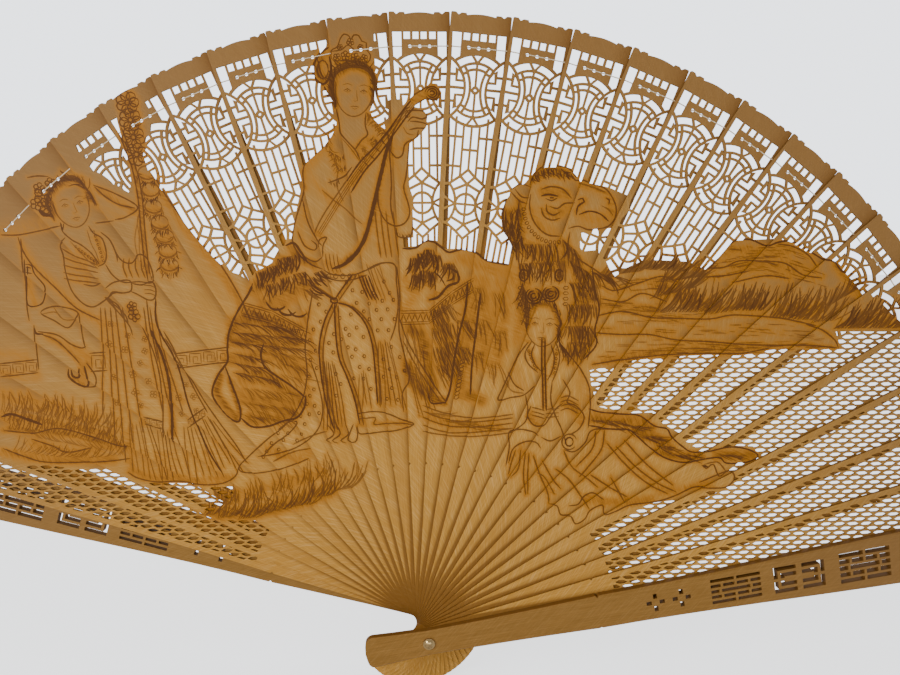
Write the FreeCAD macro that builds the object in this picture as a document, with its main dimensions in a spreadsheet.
"""Pierced folding fan of thin wooden sticks between two guards, opened on its rivet.

The fan stands in the XZ plane with its front towards -Y. The origin is the middle of the rivet. Every slat
(stick or guard) is drawn in its own flat frame first: u runs across the slat, v runs from the rivet (v = 0)
to the tip. The flat shape is then turned about the rivet to its place in the open fan and moved to its own
layer. The back guard is the rearmost layer, each stick lies in front of its left neighbour, and the front
guard lies in front of them all.
"""

import FreeCAD, Part
import functools
import math
import os
import Sketcher

V3 = FreeCAD.Vector
Y_AXIS = V3(0, 1, 0)

DIMENSIONS = {
    # the stack
    "stick_count": 28,
    "stick_thickness": 0.7,
    "layer_gap": 0.1,
    "guard_thickness": 2.6,
    "guard_chamfer": 0.5,
    # how far the fan is opened, in degrees clockwise from upright as seen from the front
    "middle_angle": 4.9,
    "half_spread": 77.2,
    "end_bunching": 1.6,
    "back_guard_angle": -73.2,
    "first_stick_lead": 1.2,
    # outline of a slat
    "tip_radius": 229.0,
    "tail_length": 24.0,
    "tail_half_width": 5.9,
    "pivot_half_width": 4.8,
    "waist_radius": 65.0,
    "waist_half_width": 6.55,
    "shoulder_radius": 215.0,
    "head_half_width": 10.8,
    "nick_depth": 0.7,
    "nick_half_length": 0.7,
    # the pierced window
    "window_top": 222.4,
    "net_bottom": 72.5,
    "left_border": 1.95,
    "left_border_at_top": 1.15,
    "right_border": 1.35,
    "hidden_margin": 0.3,
    "bar_width": 0.98,
    "thin_bar_width": 0.84,
    "roundel_radius": 203.0,
    "roundel_ring": 12.45,
    "roundel_middle_ring": 9.3,
    "roundel_inner_ring": 7.2,
    "roundel_eye": 0.5,
    "roundel_hub": 1.45,
    "side_circle_centre": 16.2,
    "side_circle_outer": 14.3,
    "star_radius": 162.9,
    "star_ring": 3.75,
    "diamond_near": 7.25,
    "diamond_middle": 9.9,
    "diamond_far": 12.4,
    "high_tie": 186.6,
    "middle_tie": 182.2,
    "low_tie": 176.2,
    "pattern_bottom": 138.0,
    # the net
    "cell_pitch": 5.2,
    "cell_row": 1.78,
    "cell_length": 4.75,
    "cell_height": 1.45,
    # thread and its holes
    "thread_radius": 217.4,
    "thread_hole_radius": 0.65,
    "thread_hole_spacing": 3.5,
    "thread_size": 0.3,
    "thread_slot": 0.4,
    # rivet
    "pin_radius": 1.1,
    "pin_clearance": 0.05,
    "washer_radius": 2.2,
    "washer_thickness": 0.5,
    "head_radius": 1.6,
    "head_height": 0.7,
}

doc = FreeCAD.newDocument("folding_fan")
sheet = doc.addObject("Spreadsheet::Sheet", "Dimensions")
for row, (alias, value) in enumerate(DIMENSIONS.items(), start=1):
    sheet.set(f"A{row}", alias)
    sheet.set(f"B{row}", str(value))
    sheet.setAlias(f"B{row}", alias)
doc.recompute()


@functools.cache
def dim(name):
    """A driving dimension, as the spreadsheet holds it."""
    return float(sheet.get(name))


STICKS = range(1, int(dim("stick_count")) + 1)
LAYER = dim("stick_thickness") + dim("layer_gap")
STACK_HALF = dim("stick_count") * LAYER / 2 - dim("layer_gap") / 2


# ---- places in the open fan ------------------------------------------------------------------------------

def stick_angle(number):
    """Degrees clockwise from upright, a little closer together towards both ends. 29 is the front guard."""
    half = dim("stick_count") / 2
    place = (number - half - 1) / half
    lead = dim("first_stick_lead") if number == 1 else 0
    return dim("middle_angle") + dim("half_spread") * place - dim("end_bunching") * place**3 + lead


def stick_front(number):
    """The Y of a stick's front face."""
    return STACK_HALF - dim("stick_thickness") - (number - 1) * LAYER


def to_slat(point, angle):
    """A point (x, z) of the open fan in the flat frame (u, v) of the slat at that angle."""
    turn = math.radians(angle)
    x, z = point
    return (x * math.cos(turn) - z * math.sin(turn), x * math.sin(turn) + z * math.cos(turn))


def slat_placement(angle, front):
    return FreeCAD.Placement(V3(0, front, 0), FreeCAD.Rotation(Y_AXIS, angle))


# ---- flat geometry: polygons are lists of (u, v) ---------------------------------------------------------

def arc_points(centre, radius, start, end, step=1.6):
    """Points on an arc, in degrees anticlockwise from +u."""
    count = max(2, math.ceil(abs(math.radians(end - start)) * radius / step))
    points = []
    for k in range(count + 1):
        a = math.radians(start + (end - start) * k / count)
        points.append((centre[0] + radius * math.cos(a), centre[1] + radius * math.sin(a)))
    return points


def strip(points, width):
    """The outline of a bar of that width along a bent line."""
    left, right = [], []
    for k, (u, v) in enumerate(points):
        before = points[max(k - 1, 0)]
        after = points[min(k + 1, len(points) - 1)]
        du, dv = after[0] - before[0], after[1] - before[1]
        size = math.hypot(du, dv)
        nu, nv = -dv / size, du / size
        if 0 < k < len(points) - 1:
            run_u, run_v = u - before[0], v - before[1]
            run = math.hypot(run_u, run_v)
            spread = abs(-nu * run_v / run + nv * run_u / run)
        else:
            spread = 1.0
        reach = width / 2 / max(spread, 0.5)
        left.append((u + nu * reach, v + nv * reach))
        right.append((u - nu * reach, v - nv * reach))
    return left + right[::-1]


def mirrored(points):
    return [(-u, v) for u, v in points]


def wire(points):
    corners = [V3(u, 0, v) for u, v in points]
    return Part.makePolygon(corners + corners[:1])


def face(points):
    return Part.Face(wire(points))


def holds(polygon, point):
    """True where the point lies inside the polygon."""
    u, v = point
    inside = False
    for k, (u1, v1) in enumerate(polygon):
        u0, v0 = polygon[k - 1]
        if (v0 > v) != (v1 > v) and u < (u1 - u0) * (v - v0) / (v1 - v0) + u0:
            inside = not inside
    return inside


def corners_of(flat_face):
    return [(vertex.X, vertex.Z) for vertex in flat_face.OuterWire.OrderedVertexes]


# ---- outline of a slat -----------------------------------------------------------------------------------

def half_width(v):
    """Half the slat's width: a slim tail and pivot, a waist with a nick, then a smooth S to the wide head."""
    waist, shoulder = dim("waist_radius"), dim("shoulder_radius")
    if v >= waist:
        part = min((v - waist) / (shoulder - waist), 1.0)
        widening = dim("head_half_width") - dim("waist_half_width")
        return dim("waist_half_width") + widening * part**2 * (3 - 2 * part)
    if v >= 0:
        part = v / waist
        return dim("pivot_half_width") + (dim("waist_half_width") - dim("pivot_half_width")) * part**1.5
    part = -v / dim("tail_length")
    return dim("pivot_half_width") + (dim("tail_half_width") - dim("pivot_half_width")) * part


def right_edge():
    """The right edge of a slat from the middle of its tail to the middle of its tip."""
    tail, tip, waist = dim("tail_length"), dim("tip_radius"), dim("waist_radius")
    deep, long = dim("nick_depth"), dim("nick_half_length")
    tail_round = 3.0
    points = [(0, -tail), (half_width(-tail) - tail_round, -tail + 0.35)]
    points += arc_points((half_width(-tail) - tail_round, -tail + 0.35 + tail_round), tail_round, -60, 0, 1.2)
    points += [(half_width(v), v) for v in (-12, 0, 12, 24, 36, 48, 58)]
    points += [(half_width(waist - long), waist - long)]
    points += [(half_width(waist) - deep, waist)]
    points += [(half_width(waist + long), waist + long)]
    points += [(half_width(v), v) for v in range(80, int(dim("shoulder_radius")) + 1, 15)]
    wide = dim("head_half_width")
    # the carved tip: a corner lug, a notch, a small bump, a step, then a long shallow arc
    points += [(wide, tip - 0.3), (wide - 0.35, tip), (wide - 1.75, tip)]
    points += [(wide - 2.75, tip - 0.85), (wide - 3.75, tip - 0.15)]
    points += [(wide - 5.5, tip - 0.15), (wide - 5.75, tip - 0.8)]
    half_arc, rise = wide - 5.75, 0.55
    points += [(half_arc * k / 4, tip - 0.8 + rise * (1 - (k / 4) ** 2)) for k in (3, 2, 1, 0)]
    return points


def slat_outline():
    right = right_edge()
    return right + mirrored(right)[-2:0:-1]


# ---- the pierced pattern of a stick's head, in the stick's own frame -------------------------------------

# how far a bar that ends in the border runs on into it
BEYOND = 12.0


def side_circle(radius, low, high):
    """Part of a circle centred off the stick's right side, between two heights above the roundel's centre."""
    centre_u, centre_v = dim("side_circle_centre"), dim("roundel_radius")
    start = 180 - math.degrees(math.asin(high / radius))
    end = 180 + math.degrees(math.asin(-low / radius))
    return arc_points((centre_u, centre_v), radius, start, end)


def roundel_bars():
    """The wheel of rings, rays, side arcs and key hooks, right half. Each bar is (points, width)."""
    bar, thin = dim("bar_width"), dim("thin_bar_width")
    c = dim("roundel_radius")
    ring = dim("roundel_ring")
    middle, inner = dim("roundel_middle_ring"), dim("roundel_inner_ring")
    eye, hub = dim("roundel_eye"), dim("roundel_hub")
    bars = [
        (arc_points((0, c), ring, 49, 90), bar),
        (arc_points((0, c), ring, -90, -49), bar),
        (arc_points((0, c), middle, 50, 90), thin),
        (arc_points((0, c), middle, -90, -50), thin),
        (arc_points((0, c), inner, 62, 90), thin),
        (arc_points((0, c), inner, -90, -62), thin),
        (side_circle(ring, -11.6, 11.6), bar),
        (side_circle(dim("side_circle_outer"), -8.2, 8.2), bar),
        # short caps that close the crescents, running on into the key hooks
        ([(3.5, c + 5.9), (5.0, c + 5.2), (7.0, c + 6.9), (7.0, c + 3.0), (3.9, c + 3.0)], thin),
        ([(3.5, c - 5.9), (5.0, c - 5.2), (7.0, c - 6.5), (7.0, c - 2.0), (3.9, c - 2.0)], thin),
        ([(7.0, c + 5.0), (BEYOND, c + 5.0)], thin),
        ([(7.0, c - 4.2), (BEYOND, c - 4.2)], thin),
        ([(3.6, c + 0.5), (BEYOND, c + 0.5)], thin),
        # the V between the rings, above and below
        ([(0, c + middle), (2.3, c + ring)], thin),
        ([(0, c - middle), (2.3, c - ring)], thin),
    ]
    bars.append((arc_points((0, c), (eye + hub) / 2, -90, 90, 0.3), hub - eye))
    return bars


def slot_bars():
    """The row of small squares, the thread plate and the long slots, right half."""
    top = dim("window_top")
    plate_top = top - 2.6
    c = dim("roundel_radius")
    ring = dim("roundel_ring")
    plate = [(0, plate_top), (6.05, plate_top), (6.05, c + 11.0)]
    plate += arc_points((0, c), ring, 58, 90)
    bars = [([(2.95, top + 1), (2.95, plate_top - 0.5)], dim("bar_width"))]
    bars.append(([(6.05, top + 1), (6.05, c + 10.6)], 0.8))
    return bars, plate


def tie_bars():
    """Upright bars with staggered ties between the roundel and the star, and below the star, right half."""
    thin = dim("thin_bar_width")
    c = dim("roundel_radius")
    s = dim("star_radius")
    roundel_foot = c - dim("roundel_ring")
    return [
        ([(2.85, roundel_foot + 0.4), (2.85, s + dim("diamond_middle"))], thin),
        ([(5.7, roundel_foot + 3.0), (5.7, s + 7.6)], thin),
        ([(2.85, dim("high_tie")), (BEYOND, dim("high_tie"))], thin),
        ([(0, dim("middle_tie")), (2.85, dim("middle_tie"))], thin),
        ([(2.85, dim("low_tie")), (BEYOND, dim("low_tie"))], thin),
        ([(2.0, s - 11.2), (2.0, s - 22)], thin),
        ([(4.4, s - 9.0), (4.4, s - 22)], thin),
        ([(6.8, s - 8.0), (6.8, s - 22)], thin),
    ]


def star_bars():
    """The wheel with its cross, the two diamonds, side arcs, chords and volutes, right half."""
    bar, thin = dim("bar_width"), dim("thin_bar_width")
    s, ring = dim("star_radius"), dim("star_ring")
    near, middle, far = dim("diamond_near"), dim("diamond_middle"), dim("diamond_far")
    bars = []
    for way in (1, -1):
        bars += [
            ([(0, s + way * near), (2.65, s + way * middle), (0, s + way * far)], bar),
            ([(2.65, s + way * middle), (6.2, s + way * 7.2), (BEYOND, s + way * 5.8)], bar),
            ([(0, s + way * near), (5.2, s + way * 4.7)], bar),
            ([(0, s + way * ring), (0, s + way * near)], thin),
            ([(ring, s), (BEYOND, s + way * 4.4)], thin),
        ]
    bars.append((arc_points((0, s), ring, -90, 90, 1.3), bar))
    bars.append((arc_points((14.2, s), 10.5, 137, 223), bar))
    bars.append(([(0, s), (ring, s)], thin))
    return bars


def head_holes():
    """Every opening of the head pattern in one stick, as corner lists, before it is trimmed to what shows."""
    wide = dim("head_half_width")
    bottom, top = dim("pattern_bottom"), dim("window_top")
    field = face([(-wide, bottom), (wide, bottom), (wide, top), (-wide, top)])
    bars = roundel_bars() + tie_bars() + star_bars()
    slots, plate = slot_bars()
    bars += slots
    solids = []
    for points, width in bars:
        outline = strip(points, width)
        solids += [outline, mirrored(outline)]
    solids += [plate, mirrored(plate)]
    # bars on the middle line
    c, s = dim("roundel_radius"), dim("star_radius")
    thin = dim("thin_bar_width")
    middle_bars = [
        [(0, top + 1), (0, top - 3)],
        [(0, c + 1), (0, c + dim("roundel_middle_ring"))],
        [(0, c - 1), (0, c - dim("roundel_middle_ring"))],
        [(0, c - dim("roundel_ring")), (0, s + dim("diamond_far"))],
        [(0, s - dim("star_ring")), (0, s + dim("star_ring"))],
        [(0, s - dim("diamond_far")), (0, s - 22)],
    ]
    solids += [strip(points, thin) for points in middle_bars]
    openings = field.cut([face(outline) for outline in solids])
    return [corners_of(opening) for opening in openings.Faces]


# ---- what stays solid: the outline of the burnt picture, in fan coordinates (x, z) -----------------------

PICTURE = [
    (-125.5, 181), (-119.5, 172.3), (-113, 169), (-108.5, 166.5), (-107.3, 170), (-108, 178),
    (-109.5, 186), (-112, 198), (-103, 203), (-99.5, 196), (-100.5, 188), (-102.5, 180), (-101, 174),
    (-97, 168), (-93, 162), (-88.5, 155), (-84, 149), (-79, 143), (-74, 138), (-70, 136.8),
    (-66, 134.4), (-63.5, 138), (-60, 139.6), (-56, 142), (-53, 146), (-50, 149), (-49, 154),
    (-47.5, 161), (-45.8, 168), (-44.8, 176), (-41, 179.3), (-37, 182.8), (-34.2, 186.5), (-32.4, 190),
    (-32.5, 197), (-34.5, 200), (-37, 204), (-39.8, 206.5), (-40, 210.5), (-38, 214.5), (-35.5, 217.2),
    (-34.5, 224), (-18.6, 224), (-18.2, 206), (-18.7, 199), (-20.3, 195.3), (-19.2, 192.6),
    (-16.3, 189.8), (-14.4, 188.6), (-14, 191.5), (-13.3, 199.2), (-10.2, 199), (-9.3, 196.3),
    (-6.8, 198.6), (-4.6, 200.6), (-1.2, 202), (1, 204.8), (3.8, 204.6), (5.4, 201.5), (3.8, 198.8),
    (-0.5, 199.3), (-4, 197.3), (-4.9, 195.7), (-1.3, 195.6), (0.3, 193.6), (-0.2, 189.6),
    (-3.2, 186.2), (-6.1, 184), (-6.6, 178), (-6.4, 170), (-6.1, 165.5), (-5.2, 160), (-5, 150.4),
    (-8.8, 150), (-9, 146.8), (-4, 147.3), (0.2, 149.6), (4.8, 149), (5.4, 146.4), (12, 146.2),
    (18, 145), (22, 142), (30.5, 140.6), (32.2, 144.8), (30, 149.5), (27.4, 154), (27, 159),
    (28.6, 163.6), (31.4, 167.4), (35.5, 169.8), (39, 173.8), (43, 175.4), (51, 175.4), (54, 172.6),
    (55.6, 170.4), (66, 168.3), (74, 165), (73, 159.5), (67.6, 153.8), (61, 153.4), (55.8, 151.8),
    (56, 145.6), (61, 144.6), (66, 140), (69, 136), (73, 139.2), (80, 142.3), (88, 142), (96, 141.6),
    (102, 138.6), (107, 143.2), (112, 149.2), (128, 150), (133, 148.6), (139, 145.2), (145, 143.4),
    (150, 141.4), (154, 137), (158, 133), (160.5, 129.6), (166, 128.3), (170, 124), (174, 120.5),
    (180, 115.7), (151, 115.9), (153.5, 109.4), (136, 110), (127, 109), (116, 107), (104, 107.2),
    (90, 106.6), (75, 105), (67, 102.7), (60.3, 101.4), (61, 96), (63.4, 87.8), (70, 86), (77, 85.2),
    (84, 85.4), (88, 81.3), (94.4, 77.6), (96, 74.3), (101.5, 70), (106, 71.6), (113, 73), (122, 72.6),
    (124.3, 69), (122, 66.4), (116.6, 66.6), (113.2, 63.6), (115, 60), (111, 56.8), (103, 55.6),
    (93, 52.2), (85, 51.4), (79, 49), (70, 44.2), (64, 41.5), (55, 38), (0, 60), (-58, 35), (-64, 39.4),
    (-73, 39.8), (-86, 41), (-83.5, 44.8), (-79.5, 47.3), (-76.4, 51), (-76.6, 54), (-87, 53.8),
    (-92, 55.2), (-108, 55.6), (-115.5, 56.2), (-116.8, 60), (-122, 61.7), (-138, 61.6), (-150, 63.4),
    (-170, 64.2), (-250, 66), (-250, 200), (-132, 200),
]

# the two zones of net, low on each side; the geometric pattern fills the rest
NET_ZONES = [
    [(58, -40), (58, 104), (90, 110), (150, 112.5), (165, 121), (188, 118), (198, 116.2), (260, 114),
     (260, -40)],
    [(-58, -40), (-58, 50), (-90, 60), (-120, 65), (-250, 70), (-250, -40)],
]

# a cut piece of an opening smaller or thinner than this stays solid, in square mm and mm
LEAST_AREA = 0.45
LEAST_AREA_PER_EDGE = 0.17


def stick_window(number):
    """The window between a stick's borders. Its right side follows the left edge of the stick in front."""
    turn = math.radians(stick_angle(number + 1) - stick_angle(number))
    top, bottom = dim("window_top"), dim("net_bottom")
    heights = [bottom, 90, 110, 130, 150, 170, 190, 200, 208, 213, top]
    left, right = [], []
    for v in heights:
        near_top = max(0.0, min(1.0, (v - 200) / (top - 200)))
        border = dim("left_border") + (dim("left_border_at_top") - dim("left_border")) * near_top
        left.append((border - half_width(v), v))
        shown = v * turn - half_width(v) + dim("hidden_margin")
        right.append((min(half_width(v) - dim("right_border"), shown), v))
    return left + right[::-1]


def net_cells(number):
    """The long six-sided openings of the net, laid level across the open fan, as seen from one stick."""
    angle = stick_angle(number)
    pitch, row_step = dim("cell_pitch"), dim("cell_row")
    long, high = dim("cell_length") / 2, dim("cell_height") / 2
    window = stick_window(number)
    turn = math.radians(angle)
    reach = dim("tip_radius")
    cells = []
    for row in range(int(-20 / row_step), int(reach / row_step)):
        z = row * row_step
        for column in range(int(-reach / pitch), int(reach / pitch)):
            x = (column + row % 2 / 2) * pitch
            u, v = to_slat((x, z), angle)
            if not (dim("net_bottom") - 3 < v < reach and abs(u) < dim("head_half_width") + 2):
                continue
            wave = 0.22 * math.sin(1.7 * row + 2.3 * column)
            cell = [(x - long, z - wave), (x - long / 3, z - high), (x + long / 2, z - high + 0.1),
                    (x + long, z + wave), (x + long / 3, z + high), (x - long / 2, z + high - 0.1)]
            cells.append([to_slat(point, angle) for point in cell])
    return cells


def trimmed(opening, window, solids):
    """The parts of an opening that lie in the window and outside the picture."""
    in_window = [holds(window, corner) for corner in opening]
    in_solid = [any(holds(solid, corner) for solid in solids) for corner in opening]
    touched = any(holds(opening, corner) for solid in solids + [window] for corner in solid)
    if not touched:
        if all(in_window) and not any(in_solid):
            return [opening]
        if not any(in_window) or all(in_solid):
            return []
    rest = face(opening).common(face(window))
    if rest.Faces:
        rest = rest.cut([face(solid) for solid in solids])
    kept = []
    for piece in rest.Faces:
        if piece.Area > LEAST_AREA and piece.Area / piece.OuterWire.Length > LEAST_AREA_PER_EDGE:
            kept.append(corners_of(piece))
    return kept


def middle_of(corners):
    return (sum(u for u, v in corners) / len(corners), sum(v for u, v in corners) / len(corners))


def stick_openings(number, pattern):
    """Every pierced opening of one stick."""
    angle = stick_angle(number)
    window = stick_window(number)
    picture = [to_slat(point, angle) for point in PICTURE]
    nets = [[to_slat(point, angle) for point in zone] for zone in NET_ZONES]
    # every head keeps its squares and slots, even where the net takes the roundel's place
    slots_above = dim("thread_radius") - 3.3
    openings = []
    for opening in pattern:
        solids = [picture] if middle_of(opening)[1] > slots_above else [picture] + nets
        openings += trimmed(opening, window, solids)
    for cell in net_cells(number):
        middle = middle_of(cell)
        if middle[1] < dim("roundel_radius") + 8.4 and any(holds(net, middle) for net in nets):
            openings += trimmed(cell, window, [picture])
    return openings


# ---- guards ----------------------------------------------------------------------------------------------

def box_corners(u0, u1, v0, v1):
    return [(u0, v0), (u1, v0), (u1, v1), (u0, v1)]


def lattice_panel(v, half_wide, half_long):
    """A plain lattice of slots: a middle column, two columns of short slots and two of long ones."""
    gap = 0.95
    column = (2 * half_wide - 4 * gap) / 5
    openings = []
    for place in range(5):
        u0 = -half_wide + place * (column + gap)
        breaks = {0: (0,), 4: (0,), 1: (-0.55, 0, 0.55), 3: (-0.55, 0, 0.55), 2: (-0.62, 0.62)}[place]
        stops = [-half_long] + [part * half_long for part in breaks] + [half_long]
        for low, high in zip(stops, stops[1:]):
            start = low + (gap / 2 if low > -half_long else 0)
            end = high - (gap / 2 if high < half_long else 0)
            openings.append(box_corners(u0, u0 + column, v + start, v + end))
    return openings


def key_panel(v, half_wide, half_long):
    """A plain key fret: four hooks turned about a middle slot."""
    slot, gap = 1.5, 1.1
    openings = []
    for su in (1, -1):
        for sv in (1, -1):
            hook = [(half_wide, half_long), (half_wide, gap), (half_wide - slot, gap),
                    (half_wide - slot, half_long - slot), (gap / 2, half_long - slot), (gap / 2, half_long)]
            openings.append([(su * u, v + sv * w) for u, w in hook])
            inner_u, inner_v = half_wide - slot - gap, half_long - slot - gap
            bracket = [(inner_u, inner_v), (inner_u, gap), (inner_u - slot, gap),
                       (inner_u - slot, inner_v - slot), (gap / 2, inner_v - slot), (gap / 2, inner_v)]
            openings.append([(su * u, v + sv * w) for u, w in bracket])
    middle_u = half_wide - 2 * (slot + gap)
    middle_v = half_long - 2 * (slot + gap)
    if middle_u > 0.5:
        openings.append(box_corners(-middle_u, middle_u, v - middle_v, v + middle_v))
    return openings


def flower_pair(v):
    """Two little four-petal flowers side by side along the guard."""
    openings = []
    for centre in (-5.0, 5.0):
        for turn in (0, 90, 180, 270):
            a = math.radians(turn)
            petal = box_corners(1.5, 3.5, -0.75, 0.75)
            openings.append([(u * math.sin(a) + w * math.cos(a),
                              v + centre + u * math.cos(a) - w * math.sin(a)) for u, w in petal])
    return openings


def guard_openings():
    openings = flower_pair(91.5)
    openings += lattice_panel(117.5, 4.9, 9.6)
    openings += key_panel(142, 5.2, 9.8)
    openings += lattice_panel(167.5, 6.0, 9.8)
    openings += key_panel(193, 6.3, 9.8)
    return openings


def add_loop(sketch, points):
    """One closed loop of lines in a sketch."""
    corners = [V3(u, v, 0) for u, v in points]
    for start, end in zip(corners, corners[1:] + corners[:1]):
        sketch.addGeometry(Part.LineSegment(start, end), False)


def guard(label, angle, front, front_is_show_side):
    """A thick guard: a padded outline with its panels, and a chamfer round its outer face."""
    body = doc.addObject("PartDesign::Body", label)
    body.Label = label
    upright = [feature for feature in body.Origin.OriginFeatures if feature.Role == "XZ_Plane"][0]
    sketch = body.newObject("Sketcher::SketchObject", label + "_outline")
    sketch.AttachmentSupport = [(upright, "")]
    sketch.MapMode = "FlatFace"
    add_loop(sketch, slat_outline())
    for opening in guard_openings():
        add_loop(sketch, opening)
    hole_radius = dim("pin_radius") + (dim("pin_clearance") if front_is_show_side else 0)
    sketch.addGeometry(Part.Circle(V3(0, 0, 0), V3(0, 0, 1), hole_radius), False)
    pad = body.newObject("PartDesign::Pad", label + "_pad")
    pad.Profile = sketch
    pad.setExpression("Length", "Dimensions.guard_thickness")
    doc.recompute()
    sketch_y = [vertex.Y for vertex in pad.Shape.Vertexes]
    show_y = min(sketch_y) if front_is_show_side else max(sketch_y)
    long_edges = []
    for count, edge in enumerate(pad.Shape.Edges, start=1):
        box = edge.BoundBox
        on_show_face = abs(box.YMin - show_y) < 1e-6 and abs(box.YMax - show_y) < 1e-6
        centre = edge.CenterOfMass
        on_side = abs(abs(centre.x) - half_width(centre.z)) < 0.4
        plain = abs(centre.z - dim("waist_radius")) > 2 and -15 < centre.z < dim("tip_radius") - 1
        if on_show_face and on_side and plain and edge.Length > 5:
            long_edges.append(f"Edge{count}")
    chamfer = body.newObject("PartDesign::Chamfer", label + "_chamfer")
    chamfer.Base = (pad, long_edges)
    chamfer.setExpression("Size", "Dimensions.guard_chamfer")
    doc.recompute()
    body.Placement = slat_placement(angle, front - min(sketch_y))
    return body


# ---- sticks and their thread -----------------------------------------------------------------------------

def circle_wire(u, v, radius):
    return Part.Wire(Part.Circle(V3(u, 0, v), Y_AXIS, radius).toShape())


def thread_holes():
    """The middles of a stick's three thread holes, left to right."""
    spacing = dim("thread_hole_spacing")
    return [(k * spacing, dim("thread_radius")) for k in (-1, 0, 1)]


def clear_of(openings, centre, reach):
    u, v = centre
    return not any(holds(opening, (u + du, v + dv)) for opening in openings
                   for du, dv in ((0, 0), (reach, 0), (-reach, 0), (0, reach), (0, -reach)))


def extruded(name, flat_shape, direction, expression):
    """An extrusion of a flat profile to a length held by the sheet."""
    profile = doc.addObject("Part::Feature", name + "_profile")
    profile.Shape = flat_shape
    plate = doc.addObject("Part::Extrusion", name + "_plate")
    plate.Base = profile
    plate.DirMode = "Custom"
    plate.Dir = direction
    plate.Solid = True
    plate.setExpression("LengthFwd", expression)
    return plate


def groove(name, u, y_expression):
    """A slot for the thread along the head of a stick, on its front or back face."""
    block = doc.addObject("Part::Box", name)
    block.setExpression("Length", "2 * Dimensions.head_half_width")
    block.setExpression("Width", "Dimensions.thread_size")
    block.setExpression("Height", "Dimensions.thread_slot")
    block.Placement.Base = V3(u, 0, 0)
    block.setExpression("Placement.Base.y", y_expression)
    block.setExpression("Placement.Base.z", "Dimensions.thread_radius - Dimensions.thread_slot / 2")
    return block


def stick(number, pattern):
    """One thin pierced stick with its rivet hole, thread holes and thread grooves."""
    label = f"stick_{number:02d}"
    openings = stick_openings(number, pattern)
    wires = [wire(slat_outline()), circle_wire(0, 0, dim("pin_radius") + dim("pin_clearance"))]
    wires += [wire(opening) for opening in openings]
    for u, v in thread_holes():
        if clear_of(openings, (u, v), dim("thread_hole_radius") + 0.3):
            wires.append(wire(arc_points((u, v), dim("thread_hole_radius"), 0, 330, 0.35)))
    flat = Part.makeFace(wires, "Part::FaceMakerBullseye")
    plate = extruded(label, flat, Y_AXIS, "Dimensions.stick_thickness")
    first_hole = thread_holes()[0][0]
    front_groove = groove(label + "_front_groove", first_hole, "0")
    back_groove = groove(label + "_back_groove", first_hole - 2 * dim("head_half_width"),
                         "Dimensions.stick_thickness - Dimensions.thread_size")
    grooves = doc.addObject("Part::MultiFuse", label + "_grooves")
    grooves.Shapes = [front_groove, back_groove]
    grooved = doc.addObject("Part::Cut", label)
    grooved.Base = plate
    grooved.Tool = grooves
    grooved.Label = label
    grooved.Placement = slat_placement(stick_angle(number), stick_front(number))
    return grooved


def thread(number):
    """A stick's thread: along its back to the first hole, through it, then over its front to the right."""
    label = f"thread_{number:02d}"
    size, thick = dim("thread_size"), dim("stick_thickness")
    end = half_width(dim("thread_radius")) - 0.05
    hole = thread_holes()[0][0]
    low, high = hole - size / 2, hole + size / 2
    run = [(-end, thick), (-end, thick - size), (low, thick - size), (low, 0),
           (end, 0), (end, size), (high, size), (high, thick)]
    base_v = dim("thread_radius") - size / 2
    corners = [V3(u, y, base_v) for u, y in run]
    flat = Part.Face(Part.makePolygon(corners + corners[:1]))
    strand = extruded(label, flat, V3(0, 0, 1), "Dimensions.thread_size")
    strand.Label = label
    strand.Placement = slat_placement(stick_angle(number), stick_front(number))
    return strand


# ---- rivet -----------------------------------------------------------------------------------------------

REACH = "(Dimensions.stick_count * (Dimensions.stick_thickness + Dimensions.layer_gap) / 2 " \
        "+ Dimensions.layer_gap / 2 + Dimensions.guard_thickness)"
ALONG_Y = FreeCAD.Rotation(V3(1, 0, 0), -90)
AGAINST_Y = FreeCAD.Rotation(V3(1, 0, 0), 90)


def cylinder(name, radius, height, middle_y):
    """A cylinder along Y about its middle."""
    rod = doc.addObject("Part::Cylinder", name)
    rod.setExpression("Radius", radius)
    rod.setExpression("Height", height)
    rod.Placement.Rotation = ALONG_Y
    rod.setExpression("Placement.Base.y", f"{middle_y} - ({height}) / 2")
    return rod


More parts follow.
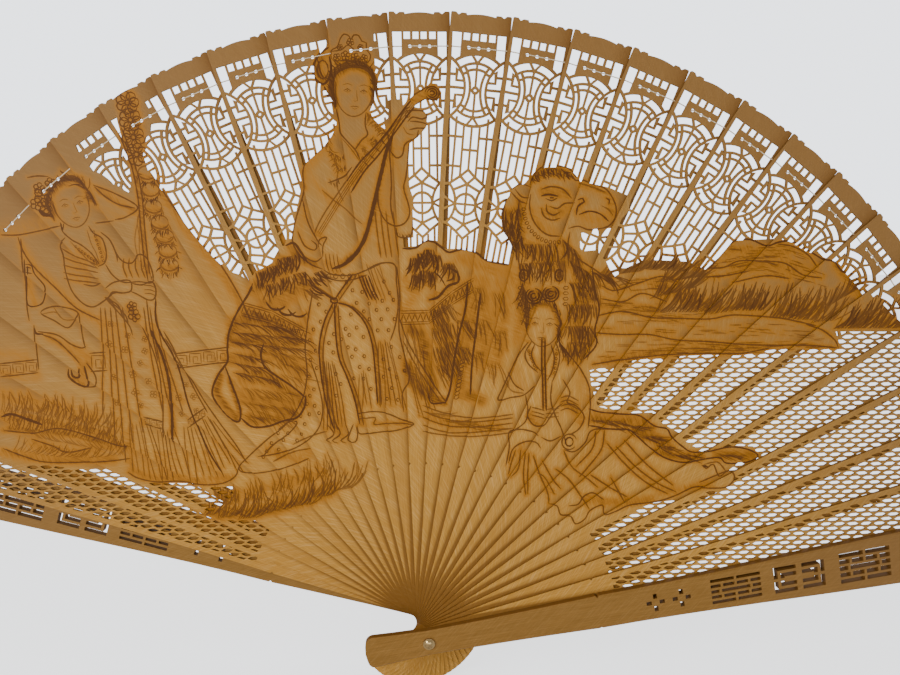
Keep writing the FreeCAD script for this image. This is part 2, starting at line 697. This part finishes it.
def rivet_pin():
    """The pin with a low dome formed at each end, over the washers."""
    length = f"2 * ({REACH} + Dimensions.layer_gap + Dimensions.washer_thickness)"
    shank = cylinder("rivet_shank", "Dimensions.pin_radius", length, "0")
    ball = "(Dimensions.head_radius ^ 2 + Dimensions.head_height ^ 2) / (2 * Dimensions.head_height)"
    pieces = [shank]
    for name, rotation, sign in (("rivet_head_back", ALONG_Y, "1"), ("rivet_head_front", AGAINST_Y, "-1")):
        dome = doc.addObject("Part::Sphere", name)
        dome.setExpression("Radius", ball)
        dome.setExpression("Angle1", f"asin(({ball} - Dimensions.head_height) / ({ball}))")
        dome.Placement.Rotation = rotation
        outward = f"({length}) / 2 - ({ball} - Dimensions.head_height)"
        dome.setExpression("Placement.Base.y", f"{sign} * ({outward})")
        pieces.append(dome)
    pin = doc.addObject("Part::MultiFuse", "rivet_pin")
    pin.Shapes = pieces
    pin.Label = "rivet_pin"
    return pin


def rivet_washers():
    """One washer under each head of the pin."""
    rings = []
    for name, sign in (("washer_back", "1"), ("washer_front", "-1")):
        middle = f"{sign} * ({REACH} + Dimensions.layer_gap + Dimensions.washer_thickness / 2)"
        disc = cylinder(name + "_disc", "Dimensions.washer_radius", "Dimensions.washer_thickness", middle)
        bore = cylinder(name + "_bore", "Dimensions.pin_radius", "Dimensions.washer_thickness", middle)
        ring = doc.addObject("Part::Cut", name)
        ring.Base = disc
        ring.Tool = bore
        rings.append(ring)
    pair = doc.addObject("Part::Compound", "rivet_washers")
    pair.Links = rings
    pair.Label = "rivet_washers"
    return pair


# ---- build, check and write ------------------------------------------------------------------------------

head_pattern = head_holes()
sub_parts = [rivet_pin(), rivet_washers()]
sub_parts.append(guard("back_guard", dim("back_guard_angle"), STACK_HALF + dim("layer_gap"), False))
front_guard_y = -STACK_HALF - dim("layer_gap") - dim("guard_thickness")
sub_parts.append(guard("front_guard", stick_angle(len(STICKS) + 1), front_guard_y, True))
for stick_number in STICKS:
    sub_parts.append(stick(stick_number, head_pattern))
    sub_parts.append(thread(stick_number))
doc.recompute()

for item in doc.Objects:
    if "Invalid" in item.State or "Error" in item.State:
        raise RuntimeError(f"{item.Name} failed: {item.State}")
for item in sub_parts:
    if item.Shape.isNull() or not item.Shape.isValid() or not item.Shape.Solids:
        raise RuntimeError(f"{item.Label} has no valid solid")

os.makedirs("parts", exist_ok=True)
for item in sub_parts:
    item.Shape.exportStep(f"parts/{item.Label}.step")
    print(item.Label, len(item.Shape.Solids), "solid", len(item.Shape.Faces), "faces",
          round(item.Shape.Volume, 1), "mm3")
